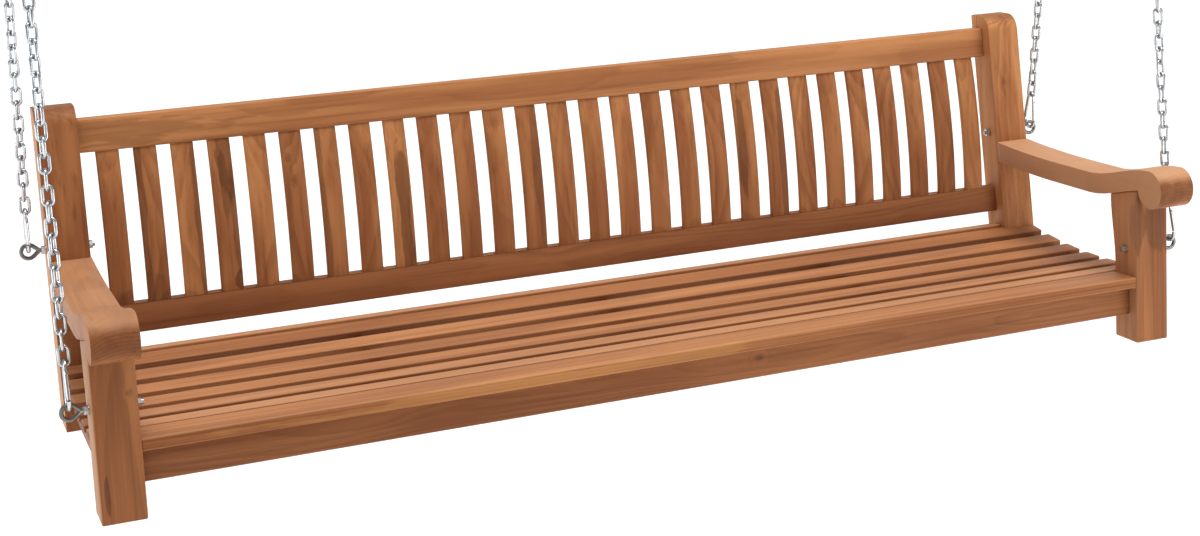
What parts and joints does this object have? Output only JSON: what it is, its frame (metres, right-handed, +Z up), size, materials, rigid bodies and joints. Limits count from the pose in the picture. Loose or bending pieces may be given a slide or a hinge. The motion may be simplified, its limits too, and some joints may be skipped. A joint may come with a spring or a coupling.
{
  "type": "porch swing",
  "caption": "Long slatted teak bench swing with scroll armrests, hung on chains with snap hooks from hanger plates.",
  "frame": {"origin": "middle of the four hanger plates, level with their upper faces, where the beam that carries the swing meets them", "axes": "+X along the bench to the right-hand end as seen from the front, +Y from the front edge to the back, +Z up"},
  "size_m": [2.075, 0.6564, 0.8686],
  "materials": {
    "teak": "oiled teak, reddish brown with darker streaks",
    "weathered_teak": "paler, pinkish tan teak on the seat",
    "zinc_plate": "bright zinc plate",
    "dull_steel": "dull galvanised steel"
  },
  "bodies": {
    "hangers": {"hanger_plates": "zinc_plate"},
    "front_chains": {"chain_front_left": "zinc_plate", "chain_front_right": "zinc_plate", "snap_hook_front_left": "zinc_plate", "snap_hook_front_right": "zinc_plate", "gate_pins_front": "dull_steel"},
    "rear_chains": {"chain_rear_left": "zinc_plate", "chain_rear_right": "zinc_plate", "snap_hook_rear_left": "zinc_plate", "snap_hook_rear_right": "zinc_plate", "gate_pins_rear": "dull_steel"},
    "bench": {"front_leg_left": "teak", "back_post_left": "teak", "armrest_left": "teak", "front_leg_right": "teak", "back_post_right": "teak", "armrest_right": "teak", "back_top_rail": "teak", "back_bottom_rail": "teak", "seat_front_rail": "teak", "seat_rear_rail": "teak", "seat_side_rail_left": "teak", "seat_side_rail_right": "teak", "seat_bearer_left": "teak", "seat_bearer_centre": "teak", "seat_bearer_right": "teak", "seat_slat_1": "weathered_teak", "seat_slat_2": "weathered_teak", "seat_slat_3": "weathered_teak", "seat_slat_4": "weathered_teak", "seat_slat_5": "weathered_teak", "seat_slat_6": "weathered_teak", "seat_front_board": "weathered_teak", "seat_screws": "dull_steel", "back_slats_1_2": "teak", "back_slats_3_4": "teak", "back_slats_5_6": "teak", "back_slats_7_8": "teak", "back_slats_9_10": "teak", "back_slats_11_12": "teak", "back_slats_13_14": "teak", "back_slats_15_16": "teak", "back_slats_17_18": "teak", "back_slats_19_20": "teak", "back_slats_21_22": "teak", "back_slats_23_24": "teak", "back_slats_25_26": "teak", "back_slats_27_28": "teak", "eye_bolt_front_left": "dull_steel", "eye_bolt_rear_left": "dull_steel", "eye_bolt_front_right": "dull_steel", "eye_bolt_rear_right": "dull_steel", "hex_nuts": "zinc_plate", "washers": "zinc_plate"},
    "gate_front_left": {"hook_gate_front_left": "zinc_plate"},
    "gate_front_right": {"hook_gate_front_right": "zinc_plate"},
    "gate_rear_left": {"hook_gate_rear_left": "zinc_plate"},
    "gate_rear_right": {"hook_gate_rear_right": "zinc_plate"}
  },
  "joints": [
    {"name": "front_swing", "type": "hinge", "parent": "hangers", "child": "front_chains", "pos_m": [0, -0.17631, -0.027], "axis": [1, 0, 0], "range_deg": [-12, 12]},
    {"name": "rear_swing", "type": "hinge", "parent": "hangers", "child": "rear_chains", "pos_m": [0, 0.17631, -0.02869], "axis": [1, 0, 0], "range_deg": [-15, 15]},
    {"name": "bench_hang", "type": "hinge", "parent": "front_chains", "child": "bench", "pos_m": [0, -0.22187, -0.67861], "axis": [1, 0, 0], "range_deg": [-8.6, 8.6]},
    {"name": "gate_front_left_spring", "type": "hinge", "parent": "front_chains", "child": "gate_front_left", "pos_m": [-1.0205, -0.22767, -0.62431], "axis": [1, 0, 0], "range_deg": [0, 25], "stiffness_Nm_per_rad": 0.05, "springref_deg": -11.46},
    {"name": "gate_front_right_spring", "type": "hinge", "parent": "front_chains", "child": "gate_front_right", "pos_m": [1.0205, -0.22767, -0.62431], "axis": [1, 0, 0], "range_deg": [0, 25], "stiffness_Nm_per_rad": 0.05, "springref_deg": -11.46},
    {"name": "gate_rear_left_spring", "type": "hinge", "parent": "rear_chains", "child": "gate_rear_left", "pos_m": [-1.0205, 0.24134, -0.47532], "axis": [1, 0, 0], "range_deg": [0, 25], "stiffness_Nm_per_rad": 0.05, "springref_deg": -11.46},
    {"name": "gate_rear_right_spring", "type": "hinge", "parent": "rear_chains", "child": "gate_rear_right", "pos_m": [1.0205, 0.24134, -0.47532], "axis": [1, 0, 0], "range_deg": [0, 25], "stiffness_Nm_per_rad": 0.05, "springref_deg": -11.46}
  ],
  "couplings": [
    {"joint": "bench_hang", "follows": "front_swing", "ratio": -0.69501},
    {"joint": "rear_swing", "follows": "front_swing", "ratio": 1.2211}
  ]
}
